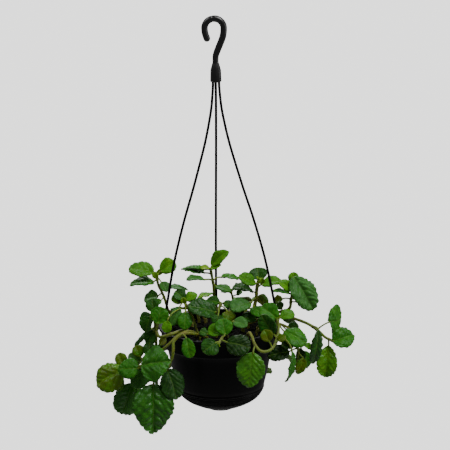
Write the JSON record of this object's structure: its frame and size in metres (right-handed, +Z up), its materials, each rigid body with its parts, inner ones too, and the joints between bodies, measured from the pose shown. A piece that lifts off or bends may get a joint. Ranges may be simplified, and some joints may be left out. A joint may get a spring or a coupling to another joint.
{
  "type": "potted plectranthus baurii",
  "caption": "Black plastic hanging basket with hook, strands and clip-on saucer, full of soil, with a trailing plant of thick, rounded, scalloped green leaves.",
  "frame": {"origin": "inside top of the hook's bend, where the basket hangs on a rod", "axes": "+Z up, -Y towards the front, +X to the right seen from the front"},
  "size_m": [0.3225, 0.2204, 0.4982],
  "materials": {
    "black_plastic": "moulded black polypropylene, satin",
    "soil": "dark peaty potting mix",
    "leaf": "fleshy living leaf, satin, finely hairy"
  },
  "bodies": {
    "root": {"hook": "black_plastic", "strand_right": "black_plastic", "strand_back": "black_plastic", "strand_left": "black_plastic", "pot": "black_plastic", "saucer": "black_plastic", "soil": "soil", "top_left": "leaf", "side_left": "leaf", "trail_left": "leaf", "trail_front_left": "leaf", "top_centre": "leaf", "thin_centre": "leaf", "top_right_of_centre": "leaf", "top_right": "leaf", "front_right": "leaf", "side_right": "leaf", "far_right": "leaf", "inner_left": "leaf", "inner_centre": "leaf", "front_centre": "leaf", "back_left": "leaf", "back_right": "leaf", "rear_1": "leaf", "rear_2": "leaf", "rear_3": "leaf", "rear_4": "leaf"}
  },
  "joints": []
}
